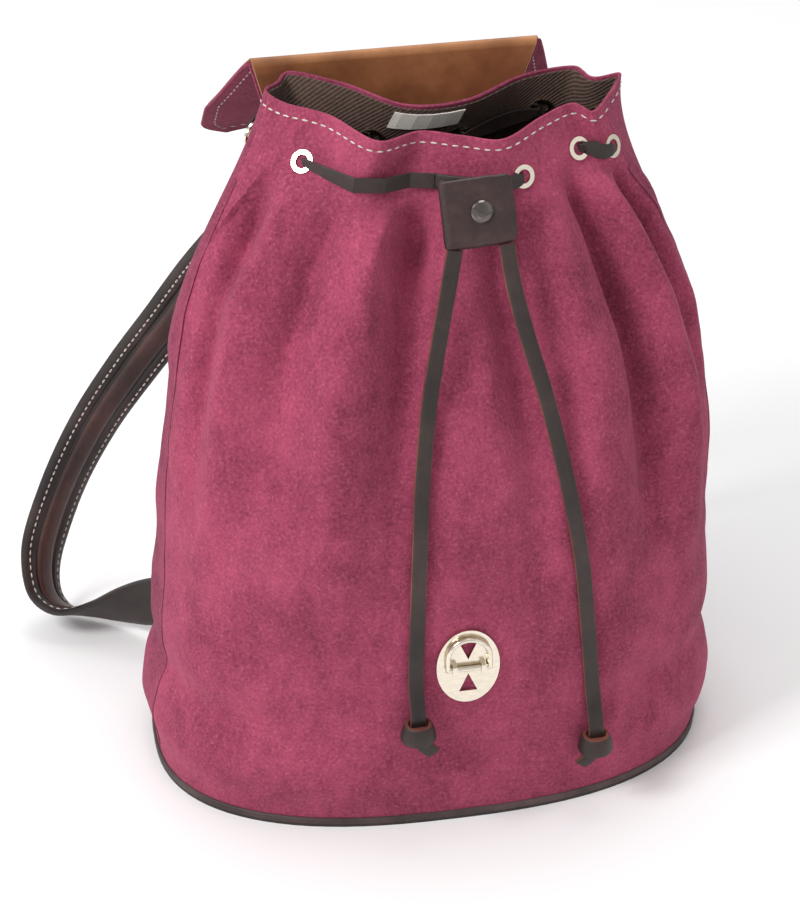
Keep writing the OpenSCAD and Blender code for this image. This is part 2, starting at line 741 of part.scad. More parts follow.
base_panel();
base_board();
base_binding();
front_panel();
back_panel();
lining();
side_seams();
eyelets();
eyelet_washers();
back_yoke();
yoke_rivets();
hang_loop();
inner_pocket();
blank_label();
lock_plate();
lock_back_plate();
lock_loop();
lace_loop();
lace_tail_left();
lace_tail_right();
lace_stop_left();
lace_stop_right();
slider_tab();
slider_spacer();
slider_rivet_cap();
slider_rivet_post();
flap_root();
flap_root_lining();
flap_suede();
flap_lining();
flap_edge();
tongue_suede();
tongue_lining();
tongue_plate();
strap_tabs();
strap_tab_rivets();
strap_left();
strap_left_backing();
strap_left_band();
strap_right();
strap_right_backing();
strap_right_band();
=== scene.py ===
import math

import bpy
import numpy as np
from mathutils import Matrix, Vector, noise


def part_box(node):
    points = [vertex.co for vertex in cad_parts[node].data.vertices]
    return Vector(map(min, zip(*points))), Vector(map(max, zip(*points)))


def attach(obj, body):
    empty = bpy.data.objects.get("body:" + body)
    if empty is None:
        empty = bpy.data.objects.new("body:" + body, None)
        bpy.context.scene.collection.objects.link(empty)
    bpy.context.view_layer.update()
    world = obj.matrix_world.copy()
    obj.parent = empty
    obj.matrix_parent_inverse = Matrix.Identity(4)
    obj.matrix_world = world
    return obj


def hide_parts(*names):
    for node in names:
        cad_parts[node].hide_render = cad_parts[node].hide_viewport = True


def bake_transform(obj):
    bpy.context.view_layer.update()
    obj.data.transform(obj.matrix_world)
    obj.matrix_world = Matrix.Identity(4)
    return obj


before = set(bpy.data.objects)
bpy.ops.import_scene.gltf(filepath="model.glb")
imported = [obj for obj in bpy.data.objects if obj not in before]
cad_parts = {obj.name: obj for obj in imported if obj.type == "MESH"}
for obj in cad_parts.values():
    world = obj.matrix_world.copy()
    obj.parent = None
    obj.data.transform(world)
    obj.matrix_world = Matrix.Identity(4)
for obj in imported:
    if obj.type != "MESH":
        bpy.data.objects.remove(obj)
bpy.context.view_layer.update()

# ---- Camera and studio ------------------------------------------------------
# The bag stands on a white sweep under broad soft light from the upper left.
# The camera looks down on the front, a little from its left side.
AZIMUTH, ELEVATION = math.radians(-10.576), math.radians(33.155)
CAMERA_AWAY = 1.5
back_way = Vector((math.sin(AZIMUTH) * math.cos(ELEVATION),
                   -math.cos(AZIMUTH) * math.cos(ELEVATION),
                   math.sin(ELEVATION)))
right_way = Vector((math.cos(AZIMUTH), math.sin(AZIMUTH), 0))
up_way = back_way.cross(right_way)
camera_data = bpy.data.cameras.new("camera")
camera_data.sensor_fit = "VERTICAL"
camera_data.sensor_height = 36
camera_data.lens = 119.93
camera = bpy.data.objects.new("camera", camera_data)
BAG_MIDDLE = Vector((0, 0, 0.18))
SHIFT_LEFT, SHIFT_DOWN = 0.01231, 0.02059
camera_spot = (BAG_MIDDLE + back_way * CAMERA_AWAY
               - right_way * SHIFT_LEFT - up_way * SHIFT_DOWN)
facing = Matrix((right_way, up_way, back_way)).transposed().to_4x4()
camera.matrix_world = Matrix.Translation(camera_spot) @ facing
bpy.context.scene.collection.objects.link(camera)
bpy.context.scene.camera = camera
bpy.context.scene.view_settings.view_transform = "Standard"


def srgb(code):
    """Linear colour of an sRGB hex value."""
    parts = [int(code[i:i + 2], 16) / 255 for i in (1, 3, 5)]
    return tuple(c / 12.92 if c <= 0.04045 else ((c + 0.055) / 1.055) ** 2.4
                 for c in parts) + (1,)


def add(tree, kind, settings={}, inputs={}):
    """Adds a node: its own settings, then constants or links for its inputs."""
    made = tree.nodes.new(kind)
    for key, value in settings.items():
        setattr(made, key, value)
    for key, value in inputs.items():
        if isinstance(value, bpy.types.NodeSocket):
            tree.links.new(value, made.inputs[key])
        else:
            made.inputs[key].default_value = value
    return made


def new_finish(name):
    """A material with its node tree, shader and object coordinates."""
    made = bpy.data.materials.new(name)
    made.use_nodes = True
    tree = made.node_tree
    shader = tree.nodes["Principled BSDF"]
    place = add(tree, "ShaderNodeTexCoord").outputs["Object"]
    return made, tree, shader, place


def speck(tree, place, per_metre, detail=2.0, rough=0.5, stretch=(1, 1, 1)):
    """A noise value whose grains are about 1 / per_metre across."""
    scaled = add(tree, "ShaderNodeMapping", {}, {
        "Vector": place, "Scale": stretch}).outputs[0]
    return add(tree, "ShaderNodeTexNoise", {}, {
        "Vector": scaled, "Scale": per_metre, "Detail": detail,
        "Roughness": rough}).outputs["Fac"]


def tones(tree, value, stops):
    """A colour ramp through (position, hex colour) stops."""
    made = add(tree, "ShaderNodeValToRGB", {}, {"Fac": value})
    ramp = made.color_ramp
    while len(ramp.elements) < len(stops):
        ramp.elements.new(0.5)
    for element, (at, code) in zip(ramp.elements, stops):
        element.position = at
        element.color = srgb(code)
    return made.outputs["Color"]


def blend_colours(tree, share, a, b, kind="MIX"):
    """Colour a with a share of colour b mixed in, or added to it."""
    return add(tree, "ShaderNodeMix", {"data_type": "RGBA",
               "blend_type": kind}, {0: share, 6: a, 7: b}).outputs[2]


def set_bump(tree, shader, *layers):
    """Bump from (height value, strength, depth in metres) layers."""
    normal = None
    for height, strength, deep in layers:
        inputs = {"Height": height, "Strength": strength, "Distance": deep}
        if normal:
            inputs["Normal"] = normal
        normal = add(tree, "ShaderNodeBump", {}, inputs).outputs[0]
    tree.links.new(normal, shader.inputs["Normal"])


floor_finish, _, floor_shader, _ = new_finish("white_sweep")
floor_shader.inputs["Base Color"].default_value = (0.93, 0.93, 0.93, 1)
floor_shader.inputs["Roughness"].default_value = 0.9
floor_mesh = bpy.data.meshes.new("floor")
floor_mesh.from_pydata([(-9, -9, 0), (9, -9, 0), (9, 9, 0), (-9, 9, 0)], [],
                       [(0, 1, 2, 3)])
floor_mesh.materials.append(floor_finish)
floor = bpy.data.objects.new("floor", floor_mesh)
bpy.context.scene.collection.objects.link(floor)

world = bpy.data.worlds.new("studio")
world.use_nodes = True
world.node_tree.nodes["Background"].inputs[0].default_value = (1, 1, 1, 1)
world.node_tree.nodes["Background"].inputs[1].default_value = 0.66
bpy.context.scene.world = world
for name, spot, size, watts in (
        ("key", (-1.1, -0.5, 1.3), 0.5, 17), ("fill", (1.3, -1.2, 1.0), 1.4, 1.5),
        ("top", (0.2, 0.5, 1.9), 1.0, 11)):
    lamp = bpy.data.lights.new(name, "AREA")
    lamp.size = size
    lamp.energy = watts
    light = bpy.data.objects.new(name, lamp)
    light.location = spot
    light.rotation_euler = (Vector(spot) - BAG_MIDDLE
                            ).to_track_quat("Z", "Y").to_euler()
    bpy.context.scene.collection.objects.link(light)

# ---- Lace ends --------------------------------------------------------------
# Two flat leather laces, cut from dark brown cowhide, hang from the slider.
# Their cut edges stay tan, and each end passes through a leather stop.


def leather(name, light, mid, dark, rough=0.5, grain=900, bump=0.35):
    """Drum-dyed cowhide: cloudy tone, fine pebble grain, satin finish."""
    made, tree, shader, place = new_finish(name)
    cloud = speck(tree, place, 28, 4, 0.6)
    colour = tones(tree, cloud, ((0.32, dark), (0.5, mid), (0.68, light)))
    scuff = speck(tree, place, 420, 3, 0.7)
    worn = tones(tree, scuff, ((0.45, "#000000"), (0.75, "#2a2624")))
    tree.links.new(blend_colours(tree, 0.35, colour, worn, "ADD"),
                   shader.inputs["Base Color"])
    gloss = add(tree, "ShaderNodeMapRange", {}, {
        "Value": scuff, "To Min": rough - 0.1, "To Max": rough + 0.14})
    tree.links.new(gloss.outputs[0], shader.inputs["Roughness"])
    pebble = add(tree, "ShaderNodeTexVoronoi", {"feature": "DISTANCE_TO_EDGE"},
                 {"Vector": place, "Scale": grain}).outputs["Distance"]
    set_bump(tree, shader, (pebble, bump, 0.0003), (scuff, 0.3, 0.0004))
    return made


brown_leather = leather("brown_cowhide", "#3b2a26", "#291c19", "#1b110f")
tan_edge = leather("tan_cut_edge", "#8a4f3c", "#6d3a2c", "#4d261e", 0.8, 1500)


def link_piece(name, verts, faces, materials, body, marks=None):
    """A closed mesh piece in metres, its faces turned outwards."""
    verts = np.asarray(verts, float)
    volume = 0.0
    for face in faces:
        a = verts[face[0]]
        for i in range(1, len(face) - 1):
            volume += a @ np.cross(verts[face[i]], verts[face[i + 1]])
    if volume < 0:
        faces = [tuple(reversed(face)) for face in faces]
    mesh = bpy.data.meshes.new(name)
    mesh.from_pydata([tuple(v) for v in verts], [], faces)
    for material in materials:
        mesh.materials.append(material)
    if marks is not None:
        mesh.polygons.foreach_set("material_index", marks)
    mesh.polygons.foreach_set("use_smooth", [True] * len(mesh.polygons))
    mesh.set_sharp_from_angle(angle=math.radians(50))
    mesh.update()
    piece = bpy.data.objects.new(name, mesh)
    bpy.context.scene.collection.objects.link(piece)
    if body:
        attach(piece, body)
    return piece


def along(points, share):
    """A point of the smooth curve through the points, share from 0 to 1."""
    points = np.asarray(points, float)
    last = len(points) - 1
    s = min(share * last, last - 1e-6)
    i = int(s)
    f = s - i
    a, b = points[max(i - 1, 0)], points[i]
    c, d = points[i + 1], points[min(i + 2, last)]
    return 0.5 * (2 * b + (c - a) * f + (2 * a - 5 * b + 4 * c - d) * f * f
                  + (3 * b - a - 3 * c + d) * f ** 3)


def sweep(centres, sides, profile, widths=None):
    """Rings of a profile [across, proud] along a path, and their faces."""
    centres, sides = np.asarray(centres, float), np.asarray(sides, float)
    profile = np.asarray(profile, float)
    n, k = len(centres), len(profile)
    widths = np.ones(n) if widths is None else np.asarray(widths, float)
    ahead = np.array([centres[min(i + 1, n - 1)] - centres[max(i - 1, 0)]
                      for i in range(n)])
    ahead /= np.linalg.norm(ahead, axis=1)[:, None]
    across = sides - ahead * (sides * ahead).sum(1)[:, None]
    across /= np.linalg.norm(across, axis=1)[:, None]
    proud = np.cross(across, ahead)
    verts = (centres[:, None] + across[:, None] * profile[None, :, :1]
             * widths[:, None, None] + proud[:, None] * profile[None, :, 1:])
    faces = [(i * k + j, (i + 1) * k + j, (i + 1) * k + (j + 1) % k,
              i * k + (j + 1) % k) for i in range(n - 1) for j in range(k)]
    faces += [tuple(range(k)), tuple((n - 1) * k + j for j in range(k))[::-1]]
    return verts.reshape(-1, 3), faces


LACE_WIDE, LACE_THICK = 0.0075, 0.0018
LACE_PROFILE = [(-0.46, -0.5), (-0.5, -0.3), (-0.5, 0.3), (-0.46, 0.5),
                (-0.15, 0.55), (0.15, 0.55), (0.46, 0.5), (0.5, 0.3),
                (0.5, -0.3), (0.46, -0.5), (0.15, -0.55), (-0.15, -0.55)]
LACE_CUT = {0, 1, 2, 6, 7, 8}
lace_profile = [(x * LACE_WIDE, y * LACE_THICK) for x, y in LACE_PROFILE]
LACE_ENDS = {
    "lace_tail_left": [
        (2, -57, 305), (-2, -61, 285), (-8, -67, 256), (-13, -73.5, 230),
        (-17, -80.5, 195), (-19, -85.5, 160), (-21, -89.5, 115),
        (-22, -92, 90), (-22, -98, 76), (-22, -99, 66), (-20, -99, 58),
        (-14, -98, 51)],
    "lace_tail_right": [
        (26, -57, 306), (29, -62, 285), (35, -67, 260), (42, -72, 235),
        (49, -77, 205), (55, -81, 175), (60, -83.5, 145), (64, -85, 105),
        (67, -86, 70), (68, -92, 52), (68, -93, 42), (66, -93, 34),
        (61, -92, 28)]}
STOP_WIDE, STOP_TOP, STOP_HIGH = 0.0088, 0.0066, 0.0095
for name, route in LACE_ENDS.items():
    path = [along(route, i / 120) / 1000 for i in range(121)]
    verts, faces = sweep(path, [(1, 0, 0)] * len(path), lace_profile)
    k = len(lace_profile)
    marks = [1 if i % k in LACE_CUT else 0 for i in range(len(faces))]
    tail = link_piece(name + "_leather", verts, faces,
                      [brown_leather, tan_edge], None, marks)
    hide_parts(name)

    # The stop is a cone of stacked leather, dark outside, raw tan on top
    stop_name = name.replace("tail", "stop")
    middle = np.array(route[-3]) / 1000
    rows = [(STOP_WIDE - 0.0015, -0.5), (STOP_WIDE - 0.0004, -0.48),
            (STOP_WIDE, -0.38), (STOP_WIDE - 0.0003, -0.1),
            (STOP_WIDE - 0.0009, 0.15), (STOP_TOP + 0.0005, 0.38),
            (STOP_TOP, 0.46), (STOP_TOP - 0.0006, 0.5),
            (STOP_TOP - 0.0016, 0.49), (STOP_TOP - 0.0018, 0.3)]
    rings = 40
    verts = [middle + (r * math.cos(a), r * 0.92 * math.sin(a), h * STOP_HIGH)
             for r, h in rows
             for a in np.linspace(0, 2 * math.pi, rings, endpoint=False)]
    faces = [(i * rings + j, i * rings + (j + 1) % rings,
              (i + 1) * rings + (j + 1) % rings, (i + 1) * rings + j)
             for i in range(len(rows) - 1) for j in range(rings)]
    marks = [1 if i // rings >= 6 else 0 for i in range(len(faces))] + [0, 1]
    faces += [tuple(range(rings))[::-1],
              tuple((len(rows) - 1) * rings + j for j in range(rings))]
    stop = link_piece(stop_name + "_leather", verts, faces,
                      [brown_leather, tan_edge], "bag", marks)
    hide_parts(stop_name)
    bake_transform(tail)

# ---- Suede walls ------------------------------------------------------------
# Two panels of brushed fuchsia split suede, joined at the side seams and drawn
# into pleats at the mouth.  The nap is matt, patchy where it was brushed or worn.
HALF_WIDE, HALF_DEEP, RIM_HIGH = 142, 90, 350
RIM = np.array([
    [85, -4, -1], [94, 10, 3], [82, 15, 0], [75, 28, 0], [50, 27, -2],
    [22, 17, -7], [-6, 19, -8], [-32, 35, -3], [-56, 48, -1], [-64, 39, -1],
    [-71, 29, 0], [-64, 14, 0], [-46, -2, 0], [-28, -28, -2], [-6, -16, -5],
    [12, -22, -6], [30, -29, -6], [50, -18, -2], [66, -9, -1],
    [75, -13, -4]], float)


def rim_at(t):
    """Rim point by angle, on a smooth closed curve."""
    s = (np.asarray(t, float) / 360 * len(RIM)) % len(RIM)
    i = np.floor(s).astype(int)
    f = (s - i)[..., None]
    a, b, c, d = (RIM[(i + o) % len(RIM)] for o in (-1, 0, 1, 2))
    return 0.5 * (2 * b + (c - a) * f + (2 * a - 5 * b + 4 * c - d) * f * f
                  + (3 * b - a - 3 * c + d) * f ** 3)


def wall(t, v):
    """The body's surface in millimetres: angle, share of the height."""
    t, v = np.broadcast_arrays(np.asarray(t, float), np.asarray(v, float))
    r = rim_at(t)
    z = v * (RIM_HIGH + r[..., 2])
    power = 2 / (2.5 * (1 - v) + 2 * v)
    tuck = 3 * (1 - np.minimum(z, 50) / 50) ** 3
    wide = (HALF_WIDE - 0.058 * np.maximum(0, z - 50)
            - 31 * (np.maximum(0, z - 140) / 210) ** 3.2 - tuck)
    deep = HALF_DEEP - 56 * (np.maximum(0, z - 50) / 300) ** 2.2 - tuck
    c, s = np.cos(np.radians(t)), np.sin(np.radians(t))
    x = (wide * np.sign(c) * np.abs(c) ** power
         + 5 * np.sin(np.radians(180 * np.minimum(v, 1))))
    y = deep * np.sign(s) * np.abs(s) ** power
    w = (np.maximum(0, v - 0.6) / 0.4) ** 2.3
    return np.stack([x * (1 - w) + r[..., 0] * w,
                     y * (1 - w) + r[..., 1] * w, z], -1)


def wall_out(t, v):
    """The way out of the wall, a unit vector."""
    v = np.minimum(v, 0.99)
    n = np.cross(wall(t + 1, v) - wall(t - 1, v),
                 wall(t, v + 0.01) - wall(t, np.maximum(v - 0.01, 0)))
    return n / np.linalg.norm(n, axis=-1)[..., None]


def ease(x, low, high):
    """0 below low, 1 above high and a smooth rise between."""
    x = np.clip((x - low) / (high - low), 0, 1)
    return x * x * (3 - 2 * x)


# Pleats run down from the mouth: angle, spread, lowest height, depth in mm
PLEATS = ((259, 5, 150, -15), (246, 6, 110, 9), (230, 5, 150, -9),
          (214, 7, 110, 5), (203, 5, 140, -8), (282, 5, 110, -11),
          (297, 6, 100, 8), (312, 4, 110, -14), (326, 6, 90, 8),
          (341, 5, 130, -9), (14, 6, 140, -6), (165, 6, 140, -6))


def drape(t, v):
    """How far the leather bulges out of the plain wall, in millimetres."""
    p = wall(t, v)
    flat = p.reshape(-1, 3)
    # Broad sags, upright folds that run down from the pleats, and dimples
    broad = np.array([noise.noise(Vector(q / 62)) for q in flat])
    folds = np.array([noise.noise(Vector((q[0] / 19, q[1] / 19, q[2] / 95)))
                      for q in flat])
    small = np.array([noise.noise(Vector(q / 15) + Vector((7, 3, 1)))
                      for q in flat])
    z = flat[:, 2]
    high = ease(z, 90, 250)
    lift = (3.4 * broad + (1.2 + 2.6 * high) * folds + 0.8 * small)
    turn = np.asarray(t, float).reshape(-1) % 360
    for middle, spread, low, deep in PLEATS:
        lift += (deep * np.exp(-((turn - middle) / spread) ** 2)
                 * ease(z, low, low + 130))
    # The leather slumps just above the base on both sides
    side = np.clip(np.abs(flat[:, 0]) / 120, 0, 1) ** 2
    lift += side * (3.2 * np.exp(-((z - 30) / 15) ** 2)
                    - 3.0 * np.exp(-((z - 62) / 9) ** 2)
                    + 1.6 * np.exp(-((z - 92) / 18) ** 2))
    lift *= ease(z, 5, 26) * (1 - ease(v.reshape(-1), 0.865, 0.935))
    front = flat[:, 1] < 0
    lift *= 1 - front * np.exp(-(((flat[:, 0] - 4) / 27) ** 4
                                 + ((z - 96) / 32) ** 4))
    for route in LACE_ENDS.values():
        run = np.array(route)[::-1]
        away = flat[:, 0] - np.interp(z, run[:, 2], run[:, 0])
        under = front * np.exp(-(away / 13) ** 2)
        lift = lift * (1 - under) + np.minimum(lift, 0) * under
    # The back stays flat under the yoke and the strap tabs, and is never
    # drawn in over the pocket
    rear = ~front
    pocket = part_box("inner_pocket")
    edge = 12
    held = (rear & (flat[:, 0] > pocket[0][0] * 1000 - edge)
            & (flat[:, 0] < pocket[1][0] * 1000 + edge)
            & (z > pocket[0][2] * 1000 - edge)
            & (z < pocket[1][2] * 1000 + edge))
    lift = np.where(held, np.maximum(lift, 0), lift)
    lift *= 1 - rear * ease(z, 215, 245)
    for x in (-104, 107):
        lift *= 1 - rear * np.exp(-((flat[:, 0] - x) / 24) ** 4
                                  - ((z - 33) / 24) ** 4)
    return lift.reshape(p.shape[:-1])


def on_wall(t, v, away, slack=None):
    """A point of the draped wall in metres, away millimetres outside it."""
    slack = drape(t, v) if slack is None else slack
    return (wall(t, v) + wall_out(t, v) * (slack + away)[..., None]) / 1000


def shell(outer, inner, closed=False):
    """A sheet between two grids of points, with softly rounded edges."""
    n, m = outer.shape[:2]
    verts = [outer.reshape(-1, 3), inner.reshape(-1, 3)]
    count = 2 * n * m
    faces = []
    span = n if closed else n - 1
    for i in range(span):
        a, b = i * m, (i + 1) % n * m
        for j in range(m - 1):
            faces.append((a + j, b + j, b + j + 1, a + j + 1))
            faces.append((n * m + a + j, n * m + a + j + 1,
                          n * m + b + j + 1, n * m + b + j))
    edges = [([i * m for i in range(n)], [i * m + 1 for i in range(n)], -1),
             ([i * m + m - 1 for i in range(n)],
              [i * m + m - 2 for i in range(n)], 1)]
    if not closed:
        edges += [(list(range(m)), list(range(m, 2 * m)), 1),
                  (list(range((n - 1) * m, n * m)),
                   list(range((n - 2) * m, (n - 1) * m)), -1)]
    flat_out, flat_in = verts[0], verts[1]
    for rim, within, way in edges:
        rim, within = np.array(rim), np.array(within)
        middle = (flat_out[rim] + flat_in[rim]) / 2
        proud = middle - (flat_out[within] + flat_in[within]) / 2
        proud /= np.linalg.norm(proud, axis=1)[:, None] + 1e-12
        thick = np.linalg.norm(flat_out[rim] - flat_in[rim], axis=1)
        ids = count + np.arange(len(rim))
        verts.append(middle + proud * 0.35 * thick[:, None])
        count += len(rim)
        ring = len(rim) if closed else len(rim) - 1
        for i in range(ring):
            k = (i + 1) % len(rim)
            a = (rim[i], rim[k], ids[k], ids[i])
            b = (ids[i], ids[k], rim[k] + n * m, rim[i] + n * m)
            faces += [a, b] if way > 0 else [a[::-1], b[::-1]]
    if not closed:
        corners = count - 2 * (n + m)
        low, top = corners, corners + n
        left, right = corners + 2 * n, corners + 2 * n + m
        last = n * m
        faces += [(0, low, left), (last, left, low),
                  (m - 1, left + m - 1, top), (last + m - 1, top,
                                               left + m - 1),
                  ((n - 1) * m, right, low + n - 1),
                  (last + (n - 1) * m, low + n - 1, right),
                  (n * m - 1, top + n - 1, right + m - 1),
                  (last + n * m - 1, right + m - 1, top + n - 1)]
    return np.vstack(verts), [tuple(int(q) for q in f) for f in faces]


def suede(name, light, mid, dark, pit):
    """Split cowhide, brushed: matt, with a 1 mm speckled nap."""
    made, tree, shader, place = new_finish(name)
    patch = speck(tree, place, 17, 4, 0.62)
    colour = tones(tree, patch, ((0.36, dark), (0.5, mid), (0.62, light)))
    brushed = speck(tree, place, 120, 3, 0.6, (1, 1, 0.45))
    streak = tones(tree, brushed, ((0.35, dark), (0.65, light)))
    colour = blend_colours(tree, 0.35, colour, streak)
    # Real nap fibres are finer; they are drawn 1 mm coarse so that they show
    nap = speck(tree, place, 640, 3, 0.75)
    flecks = tones(tree, nap, ((0.34, pit), (0.46, mid), (0.58, light),
                               (0.72, "#d08296")))
    colour = blend_colours(tree, 0.34, colour, flecks)
    tree.links.new(colour, shader.inputs["Base Color"])
    shader.inputs["Roughness"].default_value = 0.95
    shader.inputs["Specular IOR Level"].default_value = 0.2
    shader.inputs["Sheen Weight"].default_value = 0.12
    shader.inputs["Sheen Roughness"].default_value = 0.6
    shader.inputs["Sheen Tint"].default_value = srgb("#d999ab")
    set_bump(tree, shader, (nap, 0.5, 0.0007), (brushed, 0.3, 0.0012))
    return made


fuchsia = suede("fuchsia_suede", "#ab4a66", "#8f3a54", "#6c263c", "#4a1626")
# A darker copy of the same suede is painted shade, for the back panel, the side
# welts, the flap's suede side and the tongue
fuchsia_painted_shade = suede("fuchsia_suede_painted_shade", "#9c4560", "#81344d", "#602237",
                      "#401322")
SEAM_LEFT, SEAM_RIGHT = 186, 354
WALL_FOOT = 4 / RIM_HIGH
SUEDE_THICK = 1.4
panel_levels = np.concatenate([np.linspace(WALL_FOOT, 0.82, 110),
                               np.linspace(0.825, 1, 40)])
# The back panel takes the darker suede with its painted shade
for name, start, stop_t, finish in (
        ("front_panel", SEAM_LEFT + 0.2, SEAM_RIGHT - 0.2, fuchsia),
        ("back_panel", SEAM_RIGHT - 359.8, SEAM_LEFT - 0.2, fuchsia_painted_shade)):
    t, v = np.meshgrid(np.linspace(start, stop_t, 210), panel_levels,
                       indexing="ij")
    slack = drape(t, v)
    verts, faces = shell(on_wall(t, v, 0, slack),
                         on_wall(t, v, -SUEDE_THICK, slack))
    panel = link_piece(name + "_suede", verts, faces, [finish], "bag")
    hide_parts(name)

# The side seams are turned inwards and leave a soft welt on the outside
WELT = [(-1.6, -0.3), (-1.3, 0.7), (-0.6, 1.3), (0, 1.5), (0.6, 1.3),
        (1.3, 0.7), (1.6, -0.3)]
# The welts take the darker suede with its painted shade
for name, t in (("left", SEAM_LEFT), ("right", SEAM_RIGHT)):
    levels = np.linspace(0.03, 0.9, 120)
    angles = np.full(levels.shape, float(t))
    out = wall_out(angles, levels)
    across = np.cross([0, 0, 1], out)
    verts, faces = sweep(on_wall(angles, levels, 0.1), across,
                         np.array(WELT) * (0.001, -0.001))
    welt = link_piece("side_seam_" + name, verts, faces, [fuchsia_painted_shade],
                      "bag")
    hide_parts("side_seams")

# ---- Rim stitches -----------------------------------------------------------
# One row of thick white waxed thread runs round the mouth below the folded
# edge, with a stitch every 5 mm.
thread_white, tree, shader, place = new_finish("waxed_white_thread")
twist = speck(tree, place, 1500, 2, 0.6)
tree.links.new(tones(tree, twist, ((0.3, "#9c8f88"), (0.6, "#d8cfc6"))),
               shader.inputs["Base Color"])
shader.inputs["Roughness"].default_value = 0.7
set_bump(tree, shader, (twist, 0.4, 0.0002))


def stitch_tree():
    """Places one thread stitch on each point, along and out of the leather."""
    tree = bpy.data.node_groups.new("stitch_row", "GeometryNodeTree")
    face = tree.interface
    face.new_socket("Geometry", in_out="INPUT",
                    socket_type="NodeSocketGeometry")
    for label, size in (("Length", 0.0034), ("Width", 0.0009),
                        ("Height", 0.0007)):
        face.new_socket(label, in_out="INPUT", socket_type="NodeSocketFloat"
                        ).default_value = size
    face.new_socket("Thread", in_out="INPUT", socket_type="NodeSocketMaterial")
    face.new_socket("Geometry", in_out="OUTPUT",
                    socket_type="NodeSocketGeometry")
    given = add(tree, "NodeGroupInput").outputs
    ball = add(tree, "GeometryNodeMeshUVSphere", {}, {
        "Segments": 8, "Rings": 6, "Radius": 0.5}).outputs["Mesh"]
    size = add(tree, "ShaderNodeCombineXYZ", {}, {
        "X": given["Length"], "Y": given["Width"], "Z": given["Height"]})
    thread = add(tree, "GeometryNodeTransform", {}, {
        "Geometry": ball, "Scale": size.outputs[0]}).outputs[0]
    run = add(tree, "GeometryNodeInputNamedAttribute",
              {"data_type": "FLOAT_VECTOR"}, {"Name": "along"}).outputs[0]
    out = add(tree, "GeometryNodeInputNamedAttribute",
              {"data_type": "FLOAT_VECTOR"}, {"Name": "out"}).outputs[0]
    first = add(tree, "FunctionNodeAlignRotationToVector", {"axis": "X"},
                {"Vector": run}).outputs[0]
    second = add(tree, "FunctionNodeAlignRotationToVector",
                 {"axis": "Z", "pivot_axis": "X"},
                 {"Rotation": first, "Vector": out}).outputs[0]
    laid = add(tree, "GeometryNodeInstanceOnPoints", {}, {
        "Points": given["Geometry"], "Instance": thread,
        "Rotation": second}).outputs[0]
    real = add(tree, "GeometryNodeRealizeInstances", {}, {
        "Geometry": laid}).outputs[0]
    done = add(tree, "GeometryNodeSetMaterial", {}, {
        "Geometry": real, "Material": given["Thread"]}).outputs[0]
    add(tree, "NodeGroupOutput", {}, {"Geometry": done})
    return tree


stitch_row = stitch_tree()


def sew(name, points, run, out, body, thread=thread_white,
        length=0.0034, width=0.0009):
    """One row of stitches at the points, as a plain mesh."""
    mesh = bpy.data.meshes.new(name + "_points")
    mesh.from_pydata([tuple(p) for p in points], [], [])
    for label, values in (("along", run), ("out", out)):
        layer = mesh.attributes.new(label, "FLOAT_VECTOR", "POINT")
        layer.data.foreach_set("vector", np.asarray(values, float).ravel())
    holder = bpy.data.objects.new(name + "_points", mesh)
    bpy.context.scene.collection.objects.link(holder)
    modifier = holder.modifiers.new("stitches", "NODES")
    modifier.node_group = stitch_row
    given = {"Length": length, "Width": width, "Height": width * 0.8,
             "Thread": thread}
    for item in stitch_row.interface.items_tree:
        if item.in_out == "INPUT" and item.name in given:
            modifier[item.identifier] = given[item.name]
    graph = bpy.context.evaluated_depsgraph_get()
    made = bpy.data.meshes.new_from_object(holder.evaluated_get(graph))
    bpy.data.objects.remove(holder)
    made.name = name
    made.polygons.foreach_set("use_smooth", [True] * len(made.polygons))
    piece = bpy.data.objects.new(name, made)
    bpy.context.scene.collection.objects.link(piece)
    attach(piece, body)
    return piece


def spaced(points, pitch):
    """Points every pitch along a path, and the way it runs there."""
    points = np.asarray(points, float)
    steps = np.linalg.norm(np.diff(points, axis=0), axis=1)
    run = np.concatenate([[0], np.cumsum(steps)])
    at = np.arange(pitch / 2, run[-1], pitch)
    spots = np.stack([np.interp(at, run, points[:, i]) for i in range(3)], 1)
    ahead = np.stack([np.interp(at + 0.0005, run, points[:, i])
                      - np.interp(at - 0.0005, run, points[:, i])
                      for i in range(3)], 1)
    ahead /= np.linalg.norm(ahead, axis=1)[:, None]
    return spots, ahead, at / run[-1]


STITCH_PITCH, STITCH_DROP = 0.005, 4.5
turns = np.linspace(0, 360, 1441)
level = np.full(turns.shape, 1 - STITCH_DROP / RIM_HIGH)
spots, ahead, share = spaced(on_wall(turns, level, 0.1), STITCH_PITCH)
out = wall_out(share * 360, np.full(share.shape, level[0]))
sew("rim_stitches", spots, ahead, out, "bag")

# ---- Lining and label -------------------------------------------------------
# The bag is lined with dark brown cotton twill, sewn in at the rim, with one
# patch pocket and a blank woven label at the back of the mouth.
twill, tree, shader, place = new_finish("brown_cotton_twill")
turned = add(tree, "ShaderNodeMapping", {}, {
    "Vector": place, "Rotation": (0, math.radians(38), 0)}).outputs[0]
# Ribs 1.6 mm apart, drawn coarser than real twill so that they show
ribs = add(tree, "ShaderNodeTexWave", {"bands_direction": "Z"}, {
    "Vector": turned, "Scale": 200, "Distortion": 0.6,
    "Detail": 1}).outputs["Fac"]
fibre = speck(tree, place, 700, 2, 0.7)
cloth = blend_colours(
    tree, 0.3, tones(tree, ribs, ((0.2, "#2a1c17"), (0.8, "#5a453a"))),
    tones(tree, fibre, ((0.3, "#2a1c17"), (0.7, "#7d6357"))))
tree.links.new(cloth, shader.inputs["Base Color"])
shader.inputs["Roughness"].default_value = 0.85
set_bump(tree, shader, (ribs, 0.5, 0.0006), (fibre, 0.2, 0.0003))

